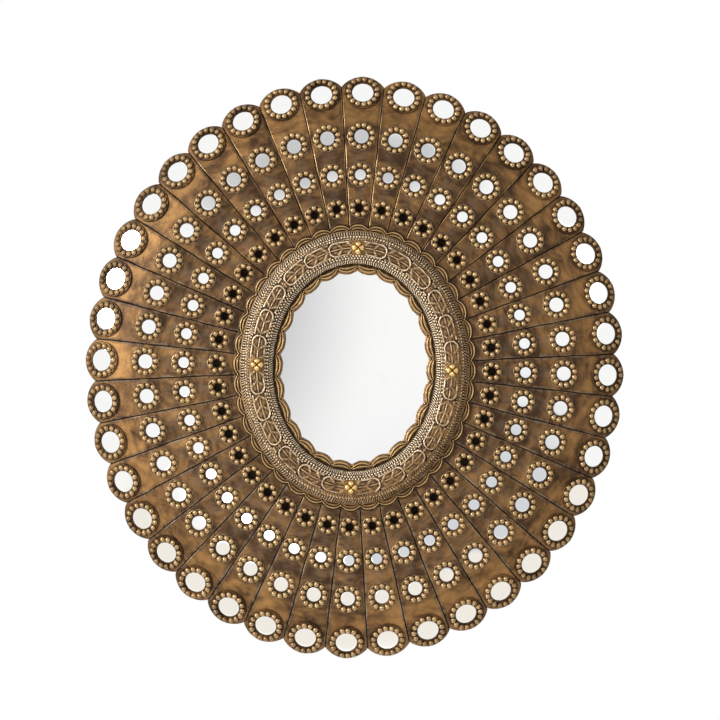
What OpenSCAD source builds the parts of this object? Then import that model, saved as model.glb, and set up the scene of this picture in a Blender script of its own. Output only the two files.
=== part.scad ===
// Oval sunburst wall mirror: forty cast rays with beaded rosettes round a carved oval moulding.
// Everything is drawn lying flat: x to the right, y up the wall, z out of the wall.
// Each piece is then stood up, so the front faces -Y and the backboard's rear face is at Y = 0.

/* [Overall size] */
// Width over the tips of the rays
overall_w = 862; // [820:1:940]
// Height over the tips of the rays
overall_h = 932; // [890:1:1010]
// Number of rays round the oval
ray_count = 40; // [36:2:42]
// Lean of the diagonal rays towards the sides, in degrees
ray_lean = 1.2; // [0:0.1:2.5]

/* [Rows of rosettes] */
// Ray tip to the centre of the outer rosettes
tip_to_outer = 27; // [24:0.5:34]
// Outer rosettes to the upper middle rosettes
outer_to_upper = 70.7; // [64:0.1:80]
// Upper middle rosettes to the lower middle rosettes
upper_to_lower = 61.3; // [54:0.1:70]
// Lower middle rosettes to the inner rosettes
lower_to_inner = 53.4; // [44:0.1:60]
// Inner rosettes to the moulding's edge
inner_to_moulding = 23; // [20:0.5:30]

/* [Dome of the rays] */
// Slope of the rays at the upper middle rosettes, in degrees
crown_slope = 10; // [6:0.5:14]
// Slope of the rays at their tips, in degrees
rim_slope = 33; // [28:0.5:38]
// Height of the ray tips' front over the backboard's rear face
rim_h = 12; // [10:0.5:20]
// Thickness of the casting where it hangs over the board's edge
petal_t = 8; // [6:0.5:9]
// Wall of the hollow-backed part of a ray
ray_wall = 5; // [4:0.5:7]
// Joint between two rays
seam_gap = 0.8; // [0.4:0.1:1.6]
// Half width and depth of the groove along each joint
groove = 1.7; // [1:0.1:2.4]
// Radius of a ray's round tip
lobe_r = 41.8; // [40:0.2:48]

/* [Beads and small mirrors] */
// Bead radius
bead_r = 4.2; // [3.6:0.1:4.5]
// Height of a bead's centre over its rosette
bead_lift = 0.6; // [0:0.1:1.5]
// Beads in an outer rosette
outer_beads = 15; // [12:1:15]
// Beads in an upper middle rosette
upper_beads = 12; // [9:1:12]
// Beads in a lower middle rosette
lower_beads = 10; // [8:1:10]
// Beads in an inner rosette
inner_beads = 7; // [6:1:7]
// Radius of the circle of beads on an outer rosette
outer_ring_r = 23.1; // [22.5:0.1:24]
// Radius of the circle of beads on an upper middle rosette
upper_ring_r = 18.1; // [17.5:0.1:19.5]
// Radius of the circle of beads on a lower middle rosette
lower_ring_r = 15.2; // [14.5:0.1:16]
// Radius of the circle of beads on an inner rosette
inner_ring_r = 11.2; // [10.8:0.1:12]
// Diameter of the outer small mirrors
outer_mirror_d = 37; // [33:0.5:37]
// Diameter of the upper middle small mirrors
upper_mirror_d = 24; // [20:0.5:26]
// Diameter of the lower middle small mirrors
lower_mirror_d = 18.5; // [15:0.5:20]
// Diameter of the open eye in an inner rosette
inner_eye_d = 12.4; // [8:0.2:13]
// Thickness of the small mirrors
disc_t = 2; // [1.5:0.1:2.5]
// Depth of a small mirror's seat
seat_depth = 3.6; // [3:0.1:4]
// Gap round a small mirror in its seat
disc_gap = 0.3; // [0.2:0.05:0.6]
// Radius of the tilted medallion under an outer rosette
medallion_r = 29; // [28.5:0.1:31]
// Height of the medallion over the ray
medallion_h = 2.5; // [1.5:0.1:4]
// Height of the low pads under the other rosettes
pad_h = 1; // [0.6:0.1:1.6]
// Rim of those pads past their beads
pad_rim = 0.3; // [0.2:0.1:0.4]

/* [Oval moulding] */
// Width of the moulding, from its outer to its inner edge
moulding_w = 82; // [78:1:86]
// Thickness of the scalloped flange
flange_t = 4; // [3:0.5:6]
// Height of the crest over the flange's back
crest_h = 19; // [14:0.5:26]
// Width of the outer edge, from the scallops' tips to the crest's foot
outer_foot = 14; // [13:0.5:16]
// Width of the inner edge, from the scallops' tips to the crest's foot
inner_foot = 14.5; // [13.5:0.5:17]
// Roundness of the crest, lower for a squarer one
crest_round = 1.2; // [0.9:0.1:2]
// Radius of the two cords that edge the carved band
rib_r = 1.5; // [1:0.1:2]
// Distance between those two cords
rib_span = 29; // [26:1:34]
// Number of scallops round the opening
inner_scallops = 26; // [22:1:30]
// Depth of the outer scallops
outer_scallop_depth = 4.5; // [3:0.5:6]
// Depth of the inner scallops
inner_scallop_depth = 5; // [3:0.5:6]
// Width of the raised band of lobes along the scallops
lobe_w = 6.5; // [4:0.5:7.5]
// Height of that band over the flange
lobe_h = 1.8; // [1:0.1:2.5]
// Plain edge between the scallops and that band
lobe_in = 2; // [1:0.1:3]
// Radius of a stud's four petals
petal_r = 5.6; // [4.9:0.1:6.1]
// Distance of those petals from the stud's middle
petal_out = 5.1; // [4.4:0.1:5.4]
// Rim of a stud's flat seat past its petals
seat_rim = 0.6; // [0.4:0.1:1.5]
// Height of that seat over the crest
seat_rise = 0.3; // [0.2:0.1:0.8]

/* [Centre mirror] */
// Thickness of the centre mirror
glass_t = 4; // [3:0.5:6]
// Lap of the moulding's flange over the mirror's edge
glass_lap = 12; // [10:0.5:16]
// Thickness of the hardboard backing
backing_t = 3; // [2.5:0.5:5]
// Lap of the backing past the mirror's edge
backing_lap = 2; // [1:0.5:4]
// Number of offset clips behind the moulding
clip_count = 8; // [6:1:12]
// Width of an offset clip
clip_w = 16; // [12:1:20]
// Thickness of the clip's sheet
clip_t = 1.5; // [1:0.1:2]
// Length of a clip's foot on the moulding
clip_foot = 16; // [13:0.5:17]
// Length of a clip's tongue on the backing
clip_tongue = 9; // [6:0.5:12]
// Gap between the backing's edge and the clips' bend
clip_gap = 1; // [0.5:0.1:2]

/* [Backboard] */
// Thickness of the backboard
board_t = 9; // [8:0.5:15]
// Outer rosettes' centres to the backboard's edge
outer_to_board = 24; // [20:0.5:30]
// Gap between the backboard's edge and the rays' skirts
board_gap = 3; // [2.5:0.1:5]
// Thickness of the rays' skirts round the board
skirt_t = 5; // [4:0.5:8]
// Skirt's edge to the board's rear face
skirt_clear = 1; // [0.5:0.5:3]
// Length of a ray's inner end under the moulding
ray_tongue = 12; // [9:0.5:16]
// Gap between the rays' inner ends and the riser hoop
hoop_gap = 1; // [0.5:0.1:2]
// Thickness of the riser hoop
hoop_t = 16; // [14:0.5:20]

/* [Screws] */
// Number of screws through the backboard into the hoop
board_screws_n = 16; // [12:1:20]
// Shank radius of the board screws
board_screw_r = 2; // [1.7:0.1:2.5]
// Length of the board screws
board_screw_l = 35; // [30:1:45]
// Shank radius of the small screws at clips and hangers
small_screw_r = 1.6; // [1.4:0.1:1.8]
// Length of a clip screw under its head
clip_screw_l = 8; // [7:0.5:10]
// Gap round a screw's shank
screw_gap = 0.05; // [0.03:0.01:0.1]
// Radius of a screw's head over its shank
head_lap = 1.6; // [1.2:0.1:2.2]
// Height of a screw's head
head_h = 1.4; // [1:0.1:2]

/* [Hangers] */
// Distance between the two hangers
hanger_span = 440; // [360:5:480]
// Height of the hinge line over the object's centre
hanger_up = 230; // [200:5:240]
// Radius of the D-ring's wire
wire_r = 1.5; // [1.2:0.1:1.6]
// Inner width of the D-ring
ring_inner_w = 22; // [18:1:26]
// Straight part of the D-ring's legs
ring_leg = 4; // [3:0.5:8]
// Thickness of the strap's sheet
strap_t = 0.8; // [0.6:0.1:1]
// Width of the strap
strap_w = 14; // [12:1:16]
// Length of the strap below its hinge
strap_l = 52; // [50:1:60]
// Height of the hinge line over the backboard
hinge_h = 3; // [2.9:0.1:3.2]
// Gap round the ring's bar in the strap
hinge_gap = 0.05; // [0.03:0.01:0.08]
// Distance from the hinge to the first strap screw
first_screw = 27; // [26:0.5:30]
// Distance between the two strap screws
screw_pitch = 16; // [12:0.5:18]
// Length of a strap screw in the board
strap_screw_l = 7.5; // [6:0.5:7.8]
// Number of rubber bumpers
bumper_count = 6; // [4:1:8]
// Radius of a bumper
bumper_r = 9; // [7:0.5:12]
// Height of a bumper, which sets the gap to the wall
bumper_h = 6; // [5.8:0.1:8]
// Distance from a bumper to the backboard's edge
bumper_in = 10; // [6:1:20]

/* [Hidden] */
$fn = 48;
row_inner = inner_to_moulding;
row_lower = row_inner + lower_to_inner;
row_upper = row_lower + upper_to_lower;
row_outer = row_upper + outer_to_upper;
ray_tip = row_outer + tip_to_outer;
// Half axes of the moulding's outer edge, from which every oval is an offset
base_a = overall_w / 2 - ray_tip;
base_b = overall_h / 2 - ray_tip;
ray_step = 360 / ray_count;
// The dome's profile is two arcs, one up to the upper middle row and a tighter one to the tip
crown_r = row_upper / sin(crown_slope);
rim_r = (ray_tip - row_upper) / (sin(rim_slope) - sin(crown_slope));
crown_drop = crown_r * (1 - cos(crown_slope));
rim_drop = rim_r * (cos(crown_slope) - cos(rim_slope));
top_h = rim_h + crown_drop + rim_drop;
lobe_s = ray_tip - lobe_r;
board_s = row_outer - outer_to_board;
skirt_s = board_s + board_gap;
hoop_out = -ray_tongue - hoop_gap;
hoop_in = hoop_out - hoop_t;
opening_s = -moulding_w;
glass_s = opening_s + glass_lap;
backing_s = glass_s + backing_lap;
backing_top = top_h - glass_t;
backing_back = backing_top - backing_t;
// The crest's middle line and half width
crest_s = (-outer_foot + opening_s + inner_foot) / 2;
crest_half = -outer_foot - crest_s;
// Centres of the arcs of the oval, which is drawn with four arcs joined on the diagonals
arc_c = (base_b - base_a) * (1 + sqrt(0.5));
side_r = base_a + arc_c;
end_r = base_b - arc_c;
clip_bend_s = backing_s + clip_gap;
clip_screw_s = clip_bend_s + clip_t + (clip_foot - clip_t) / 2;
hoop_mid = (hoop_out + hoop_in) / 2;
stud_seat_r = petal_out + petal_r + seat_rim;
// Rows of rosettes: distance, beads, bead circle, seat radius, pad radius, pad height
rows = [
    [row_outer, outer_beads, outer_ring_r, outer_mirror_d / 2 + disc_gap, medallion_r, medallion_h],
    [row_upper, upper_beads, upper_ring_r, upper_mirror_d / 2 + disc_gap, upper_ring_r + bead_r + pad_rim, pad_h],
    [row_lower, lower_beads, lower_ring_r, lower_mirror_d / 2 + disc_gap, lower_ring_r + bead_r + pad_rim, pad_h],
    [row_inner, inner_beads, inner_ring_r, inner_eye_d / 2, inner_ring_r + bead_r + pad_rim, pad_h]
];
pad_root = 3;
far = 200;

// Name of a ray, numbered clockwise from the top
function ray_name(i) = str("ray_", i < 10 ? "0" : "", i);
function ray_turn(i) = 90 - (i - 1) * ray_step;
// True direction of the ray or joint at an even turn u
function aim(u) = u - ray_lean * sin(2 * u);
// Point at distance s outside the moulding's edge, along the ray at turn u
function spot(u, s) = [(base_a + s) * cos(aim(u)), (base_b + s) * sin(aim(u))];
// Height and slope of the rays' front at distance s
function slope(s) = s <= 0 ? 0 : s < row_upper ? asin(s / crown_r) : asin(sin(crown_slope) + (s - row_upper) / rim_r);
function height(s) = s < row_upper
    ? top_h - crown_r * (1 - cos(slope(s)))
    : rim_h + rim_r * (cos(slope(s)) - cos(rim_slope));
// Oval at distance s from the moulding's edge
function oval(s, n = 144) = [for (k = [0:n - 1]) spot(k * 360 / n, s)];
// Side of a ray: distance of the joint's line from the ray's middle, for the joint half a step away
function joint_y(i, side, s) =
    let (u = ray_turn(i), v = u + side * ray_step / 2, turn = aim(v) - aim(u))
    let (d = spot(v, 0) - spot(u, 0), along = d * [cos(aim(u)), sin(aim(u))])
    let (across = d * [-sin(aim(u)), cos(aim(u))])
    across + (s - along) * tan(turn);
// Scalloped oval: n arcs whose tips lie at distance s, bulging out (side 1) or in (side -1).
// At the top there is the middle of a scallop (start 0) or the point between two (start 0.5).
function scallop(n, s, depth, side, start, m = 8) = [
    for (k = [0:n - 1], j = [0:m - 1])
        let (x = 2 * j / m - 1, u = 90 - (k + start + x / 2) * 360 / n)
        spot(u, s - side * depth * x * x)
];
// Height of the crest over the flange's back, at t degrees from its outer to its inner foot
function crest(t) = flange_t / 2 + (crest_h - flange_t / 2) * pow(sin(t), crest_round);

// Stands a flat drawing up against the wall
module stand() {
    rotate([90, 0, 0]) children();
}

// Places a child at a ray, its x along the ray and z out of the wall
module at_ray(i) {
    translate(spot(ray_turn(i), 0)) rotate(aim(ray_turn(i))) children();
}

// Places a child on the dome at distance s, its z square to the surface
module on_dome(s) {
    translate([s, 0, height(s)]) rotate([0, slope(s), 0]) children();
}

// Outline of a ray seen from the front, drawn in by a margin along its two joints
module ray_outline(i, margin) {
    near = -ray_tongue;
    intersection() {
        polygon([
            [near, joint_y(i, -1, near) + margin], [ray_tip + 1, joint_y(i, -1, ray_tip + 1) + margin],
            [ray_tip + 1, joint_y(i, 1, ray_tip + 1) - margin], [near, joint_y(i, 1, near) - margin]
        ]);
        union() {
            translate([near, -far / 2]) square([lobe_s - near, far]);
            translate([lobe_s, 0]) circle(lobe_r, $fn = 96);
        }
    }
}

// Front line of the dome from the inner end to distance s_end, lowered by drop
function dome_line(s_from, s_end, drop) = [
    for (s = concat([s_from], [for (k = [1:15]) s_from + (s_end - s_from) * k / 16], [s_end]))
        [s, height(s) - drop]
];
function reversed(list) = [for (k = [len(list) - 1:-1:0]) list[k]];

// Side view of a ray: dome in front, skirt round the board, thin petal past it
module ray_section() {
    out = skirt_s + skirt_t;
    polygon(concat(
        dome_line(-ray_tongue, ray_tip, 0),
        reversed(dome_line(out, ray_tip, petal_t)),
        [[out, skirt_clear], [skirt_s, skirt_clear], [skirt_s, board_t], [-ray_tongue, board_t]]
    ));
}

// Side view of the hollow behind a ray
module hollow_section() {
    near = -ray_tongue + ray_wall;
    end = board_s - ray_wall;
    polygon(concat(dome_line(near, end, ray_wall), [[end, -1], [near, -1]]));
}

// Extrudes a side view across the ray
module across_ray() {
    rotate([90, 0, 0]) linear_extrude(far, center = true) children();
}

// Groove along the two joints of a ray, following the dome's two arcs.
// Its cutter has upright sides over the surface, so that it stays clear of the pads.
module joint_grooves(i) {
    edge = 0.15;
    arcs = [[0, top_h - crown_r, crown_r, -5, crown_slope],
            [row_upper - rim_r * sin(crown_slope), height(row_upper) - rim_r * cos(crown_slope), rim_r,
             crown_slope, rim_slope + 3]];
    for (side = [-1, 1], a = arcs)
        translate([0, joint_y(i, side, 0), 0])
            rotate(atan(joint_y(i, side, 1) - joint_y(i, side, 0)))
                translate([a[0], 0, a[1]]) rotate([90, 0, 0])
                    rotate([0, 0, 90 - a[4]])
                        rotate_extrude(angle = a[4] - a[3], $fn = 360)
                            polygon([
                                [a[2] + 1, -groove - edge], [a[2] + edge, -groove - edge], [a[2] - groove, 0],
                                [a[2] + edge, groove + edge], [a[2] + 1, groove + edge]
                            ]);
}

// One rosette's pad with its circle of beads, drawn over the surface at z = 0
module rosette(row, phase) {
    translate([0, 0, -pad_root]) cylinder(h = pad_root + row[5], r = row[4]);
    for (k = [0:row[1] - 1])
        rotate(phase + k * 360 / row[1]) translate([row[2], 0, row[5] + bead_lift]) sphere(bead_r);
}

// Where the beads of a rosette start, so that neighbours differ as hand-set ones do
function bead_phase(i, r) = (i * 137.5 + r * 61) % 360;

// A cast ray with its four rosettes, hollow behind
module ray(i) {
    color([0.5, 0.37, 0.2])
    stand() at_ray(i)
        difference() {
            union() {
                intersection() {
                    linear_extrude(far) ray_outline(i, seam_gap / 2);
                    across_ray() ray_section();
                }
                for (r = [0:3]) on_dome(rows[r][0]) rosette(rows[r], bead_phase(i, r));
            }
            intersection() {
                translate([0, 0, -1]) linear_extrude(far) ray_outline(i, seam_gap / 2 + ray_wall);
                across_ray() hollow_section();
            }
            for (r = [0:2])
                on_dome(rows[r][0]) translate([0, 0, rows[r][5] - seat_depth]) cylinder(h = seat_depth + 0.2, r = rows[r][3]);
            on_dome(row_inner) translate([0, 0, -2 * ray_wall]) cylinder(h = 2 * ray_wall + pad_h + 0.2, r = rows[3][3]);
            joint_grooves(i);
        }
}

// The small mirrors of one row, one in each ray
module small_mirrors(r, d) {
    color([0.9, 0.9, 0.88])
    stand()
        for (i = [1:ray_count])
            at_ray(i) on_dome(rows[r][0]) translate([0, 0, rows[r][5] - seat_depth]) cylinder(h = disc_t, r = d / 2);
}

// Sweeps a section round the oval; the section's x is the distance outside the moulding's edge
module oval_sweep() {
    for (k = [0, 1]) rotate(180 * k) {
        translate([-arc_c, 0, 0]) rotate(-45)
            rotate_extrude(angle = 90, $fn = 240) translate([side_r, 0]) children();
        translate([0, arc_c, 0]) rotate(45)
            rotate_extrude(angle = 90, $fn = 240) translate([end_r, 0]) children();
    }
}

// Places a child at an even turn round the oval, at distance s
module at_turn(u, s) {
    translate(spot(u, s)) rotate(aim(u)) children();
}

// Outline of the scalloped edge outside and inside, moved inwards on the flange by inset
module outer_edge(inset) {
    polygon(scallop(ray_count, -inset, outer_scallop_depth, 1, 0));
}
module inner_edge(inset) {
    polygon(scallop(inner_scallops, opening_s + inset, inner_scallop_depth, -1, 0.5));
}

// Section of the crest with the two cords that edge its carved band
module crest_section() {
    polygon([for (t = [0:9:180]) [crest_s + crest_half * cos(t), t == 0 || t == 180 ? 0 : crest(t)]]);
    for (side = [-1, 1]) {
        x = side * rib_span / 2;
        translate([crest_s + x, crest(acos(x / crest_half))]) circle(rib_r, $fn = 24);
    }
}

// Even turns of the offset clips
function clip_turn(k) = (k + 0.5) * 360 / clip_count;

// The carved oval moulding, one flat-backed casting
module oval_moulding() {
    color([0.62, 0.5, 0.32])
    stand() translate([0, 0, top_h])
        difference() {
            union() {
                linear_extrude(flange_t) difference() {
                    outer_edge(0);
                    inner_edge(0);
                }
                linear_extrude(flange_t + lobe_h) difference() {
                    outer_edge(lobe_in);
                    outer_edge(lobe_in + lobe_w);
                }
                linear_extrude(flange_t + lobe_h) difference() {
                    inner_edge(lobe_in + lobe_w);
                    inner_edge(lobe_in);
                }
                oval_sweep() crest_section();
                for (k = [0:3]) at_turn(k * 90, crest_s) cylinder(h = crest_h + seat_rise, r = stud_seat_r);
            }
            for (k = [0:clip_count - 1])
                at_turn(clip_turn(k), clip_screw_s)
                    translate([0, 0, -1]) cylinder(h = clip_screw_l - clip_t + 1, r = small_screw_r + screw_gap);
        }
}

// Four cast studs on the crest, each with four petals
module moulding_studs() {
    color([0.85, 0.7, 0.38])
    stand() translate([0, 0, top_h + crest_h + seat_rise])
        for (k = [0:3]) at_turn(k * 90, crest_s)
            difference() {
                for (p = [0:3]) rotate(p * 90) translate([petal_out, 0, 0.2]) sphere(petal_r);
                translate([0, 0, -far / 2]) cube(far, center = true);
            }
}

// The centre mirror, behind the moulding's inner edge
module centre_mirror() {
    color([0.9, 0.91, 0.92])
    stand() translate([0, 0, backing_top]) linear_extrude(glass_t) polygon(oval(glass_s));
}

// Hardboard backing behind the centre mirror
module mirror_backing() {
    color([0.45, 0.3, 0.18])
    stand() translate([0, 0, backing_back]) linear_extrude(backing_t) polygon(oval(backing_s));
}

// Side view of an offset clip: foot on the moulding's back, bend, tongue on the backing
module clip_section() {
    polygon([
        [clip_bend_s + clip_foot, top_h], [clip_bend_s, top_h], [clip_bend_s, backing_back],
        [clip_bend_s - clip_gap - clip_tongue, backing_back],
        [clip_bend_s - clip_gap - clip_tongue, backing_back - clip_t],
        [clip_bend_s + clip_t, backing_back - clip_t], [clip_bend_s + clip_t, top_h - clip_t],
        [clip_bend_s + clip_foot, top_h - clip_t]
    ]);
}

// Offset clips that hold the backing and the mirror in the moulding
module mirror_clips() {
    color("silver")
    stand()
        for (k = [0:clip_count - 1])
            difference() {
                at_turn(clip_turn(k), 0)
                    rotate([90, 0, 0]) linear_extrude(clip_w, center = true) clip_section();
                at_turn(clip_turn(k), clip_screw_s)
                    translate([0, 0, top_h - 2 * clip_t]) cylinder(h = 3 * clip_t, r = small_screw_r + screw_gap);
            }
}

// A pan-head screw whose head's underside is at z = 0, its shank along +z
module screw(r, l) {
    translate([0, 0, -head_h]) cylinder(h = head_h, r1 = r + head_lap * 0.7, r2 = r + head_lap);
    cylinder(h = l, r = r);
}

module clip_screws() {
    color("silver")
    stand()
        for (k = [0:clip_count - 1])
            at_turn(clip_turn(k), clip_screw_s) translate([0, 0, top_h - clip_t]) screw(small_screw_r, clip_screw_l);
}

// Turns of the screws through the backboard
function board_screw_turn(k) = (k + 0.5) * 360 / board_screws_n;

// The hoop that carries the moulding over the backboard
module riser_hoop() {
    color([0.72, 0.58, 0.4])
    stand()
        difference() {
            translate([0, 0, board_t]) linear_extrude(top_h - board_t) difference() {
                polygon(oval(hoop_out));
                polygon(oval(hoop_in));
            }
            for (k = [0:board_screws_n - 1])
                at_turn(board_screw_turn(k), hoop_mid) cylinder(h = board_screw_l + 1, r = board_screw_r + screw_gap);
        }
}

// Places a child at each screw of the two hanger straps
module at_strap_screws() {
    for (side = [-1, 1], k = [0, 1])
        translate([side * hanger_span / 2, hanger_up - first_screw - k * screw_pitch, 0]) children();
}

// The oval board that carries rays and hoop
module backboard() {
    color([0.6, 0.48, 0.34])
    stand()
        difference() {
            linear_extrude(board_t) polygon(oval(board_s));
            for (k = [0:board_screws_n - 1])
                at_turn(board_screw_turn(k), hoop_mid)
                    translate([0, 0, -1]) cylinder(h = board_t + 2, r = board_screw_r + screw_gap);
            at_strap_screws() translate([0, 0, -1]) cylinder(h = strap_screw_l + 1, r = small_screw_r + screw_gap);
        }
}

module board_screws() {
    color("dimgray")
    stand()
        for (k = [0:board_screws_n - 1])
            at_turn(board_screw_turn(k), hoop_mid) screw(board_screw_r, board_screw_l);
}

// Rubber bumpers that keep the back off the wall
module wall_bumpers() {
    color([0.1, 0.1, 0.1])
    stand()
        for (k = [0:bumper_count - 1])
            at_turn((k + 0.5) * 360 / bumper_count, board_s - bumper_in - bumper_r)
                mirror([0, 0, 1]) cylinder(h = bumper_h, r1 = bumper_r, r2 = bumper_r - 1);
}

// Places a child at each hinge line, z down from the backboard's rear face towards the wall
module at_hangers() {
    for (side = [-1, 1])
        translate([side * hanger_span / 2, hanger_up, 0]) children();
}

// Straps of sheet steel, joggled up and rolled round the D-rings' bars
module hanger_straps() {
    knuckle_r = wire_r + hinge_gap + strap_t;
    color("silver")
    stand()
        at_hangers()
            difference() {
                rotate([90, 0, -90]) linear_extrude(strap_w, center = true) {
                    polygon([
                        [strap_l, 0], [strap_l, -strap_t], [2.5 * knuckle_r, -strap_t], [knuckle_r, -hinge_h],
                        [0, -hinge_h], [0, -hinge_h + knuckle_r], [1.4 * knuckle_r, 0]
                    ]);
                    translate([0, -hinge_h]) circle(knuckle_r);
                }
                translate([0, 0, -hinge_h]) rotate([0, 90, 0])
                    cylinder(h = 2 * strap_w, r = wire_r + hinge_gap, center = true);
                for (k = [0, 1])
                    translate([0, -first_screw - k * screw_pitch, -2 * strap_t])
                        cylinder(h = 3 * strap_t, r = small_screw_r + screw_gap);
            }
}

module strap_screws() {
    color("silver")
    stand() at_strap_screws() translate([0, 0, -strap_t]) screw(small_screw_r, strap_screw_l);
}

// A D-ring hanging from its strap: straight bar, two legs and a half round
module d_ring(side) {
    half = ring_inner_w / 2 + wire_r;
    color("silver")
    stand() translate([side * hanger_span / 2, hanger_up, -hinge_h]) {
        rotate([0, 90, 0]) cylinder(h = 2 * half, r = wire_r, center = true);
        for (x = [-half, half]) translate([x, 0, 0]) {
            sphere(wire_r);
            rotate([90, 0, 0]) cylinder(h = ring_leg, r = wire_r);
        }
        translate([0, -ring_leg, 0]) rotate(180) rotate_extrude(angle = 180) translate([half, 0]) circle(wire_r);
    }
}

for (i = [1:ray_count])
    ray(i);
small_mirrors(0, outer_mirror_d);  // outer_mirrors
small_mirrors(1, upper_mirror_d);  // upper_mirrors
small_mirrors(2, lower_mirror_d);  // lower_mirrors
oval_moulding();
moulding_studs();
centre_mirror();
mirror_backing();
mirror_clips();
clip_screws();
riser_hoop();
backboard();
board_screws();
wall_bumpers();
hanger_straps();
strap_screws();
d_ring(-1);  // d_ring_left
d_ring(1);  // d_ring_right
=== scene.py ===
import math

import bpy
import numpy as np
from mathutils import Matrix, Vector
from mathutils.geometry import delaunay_2d_cdt


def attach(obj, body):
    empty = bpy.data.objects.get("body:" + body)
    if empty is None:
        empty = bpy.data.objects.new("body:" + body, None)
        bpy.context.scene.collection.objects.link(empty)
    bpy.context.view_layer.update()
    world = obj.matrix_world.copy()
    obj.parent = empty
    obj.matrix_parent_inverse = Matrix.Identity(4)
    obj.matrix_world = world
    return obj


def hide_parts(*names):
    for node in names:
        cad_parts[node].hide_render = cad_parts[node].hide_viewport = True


# Packed solids
# They are the fixed frame that every piece below is fitted to. Pieces are drawn lying flat, in
# millimetres: x to the right, y up the wall, z out of it. The board's rear face is at z = 0.
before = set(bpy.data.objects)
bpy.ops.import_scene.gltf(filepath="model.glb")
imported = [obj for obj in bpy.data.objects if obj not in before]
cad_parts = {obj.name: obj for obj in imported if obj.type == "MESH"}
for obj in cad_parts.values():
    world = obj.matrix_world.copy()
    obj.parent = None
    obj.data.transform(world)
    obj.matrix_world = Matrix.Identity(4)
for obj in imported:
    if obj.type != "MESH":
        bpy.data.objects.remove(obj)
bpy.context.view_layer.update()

# Rays
# Forty castings stand round the oval, each with four beaded rosettes and a round tip. They are
# resin, gilded, glazed brown and waxed along their joints, and bonded to the board behind them.
ray_count = 40
ray_step = 2 * math.pi / ray_count
ray_lean = math.radians(1.2)
# Half the width and height of the moulding's edge, and how far outside it the rows and the tips lie
edge_across, edge_up = 195.6, 230.6
row_inner, row_lower, row_upper, row_outer, ray_tip = 23.0, 76.4, 137.7, 208.4, 235.4
# The faces make a dome, which leans by 10 degrees at the upper row and by 33 at the tips
crown_slope, rim_slope = math.radians(10), math.radians(33)
crown_radius = row_upper / math.sin(crown_slope)
rim_radius = (ray_tip - row_upper) / (math.sin(rim_slope) - math.sin(crown_slope))
rim_height = 12
top_height = (rim_height + crown_radius * (1 - math.cos(crown_slope))
              + rim_radius * (math.cos(crown_slope) - math.cos(rim_slope)))
# A ray starts under the moulding and ends outside in a round tip
inner_end, lobe_radius, half_joint = -12.0, 41.8, 0.4
lobe_middle = ray_tip - lobe_radius
# Outside the board's edge its underside turns down as a skirt, and its tip is thin
board_front, tip_thickness = 9.0, 8.0
skirt_inside, skirt_outside, skirt_foot = 187.4, 192.4, 1.0
# Steps along a ray's side, with pairs at both faces of the skirt, and points in each half of its tip
straight_end = 219.0
outline_steps = np.sort(np.concatenate([
    np.linspace(inner_end, straight_end, 52),
    [skirt_inside - 0.1, skirt_inside + 0.1, skirt_outside - 0.1, skirt_outside + 0.1]]))
tip_points = 14


def aim(turn):
    """True direction of the ray or joint at an even turn round the oval."""
    return turn - ray_lean * np.sin(2 * turn)


def spot(turn, out):
    """Point at a distance outside the moulding's edge, along the ray at an even turn."""
    return np.stack([(edge_across + out) * np.cos(aim(turn)), (edge_up + out) * np.sin(aim(turn))], -1)


def slope(out):
    """Slope of the dome that the rays make, at a distance from the moulding's edge."""
    out = np.asarray(out, float)
    crown = np.clip(out, 0, row_upper) / crown_radius
    rim = math.sin(crown_slope) + (out - row_upper) / rim_radius
    return np.arcsin(np.where(out < row_upper, crown, rim))


def height(out):
    """Height of the dome over the board's rear face."""
    crown = top_height - crown_radius * (1 - np.cos(slope(out)))
    rim = rim_height + rim_radius * (np.cos(slope(out)) - math.cos(rim_slope))
    return np.where(np.asarray(out) < row_upper, crown, rim)


def ray_turn(number):
    return math.pi / 2 - number * ray_step


def joint_line(number, side):
    """A ray's joint on one side: how far it is from the ray's middle line, and how fast it widens."""
    turn = ray_turn(number)
    bend = aim(turn + side * ray_step / 2) - aim(turn)
    step = spot(turn + side * ray_step / 2, 0.0) - spot(turn, 0.0)
    along = step @ [math.cos(aim(turn)), math.sin(aim(turn))]
    across = step @ [-math.sin(aim(turn)), math.cos(aim(turn))]
    return across - along * math.tan(bend), math.tan(bend)


def beside_rosette(out):
    """1 beside a rosette and 0 between two, along a ray."""
    return sum(np.exp(-((out - row) / 13) ** 2) for row in (row_inner, row_lower, row_upper, row_outer))


def wobble(joint, out):
    """How far a joint strays from its line, as it was scraped by hand. Both its rays share it."""
    starts = np.random.default_rng(joint % ray_count).uniform(0, 2 * math.pi, 3)
    waves = zip((0.22, 0.13, 0.07), (17, 7.3, 3.1), starts)
    stray = sum(depth * np.sin(out / length + start) for depth, length, start in waves)
    return stray * (1 - 0.8 * beside_rosette(out))


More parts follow.
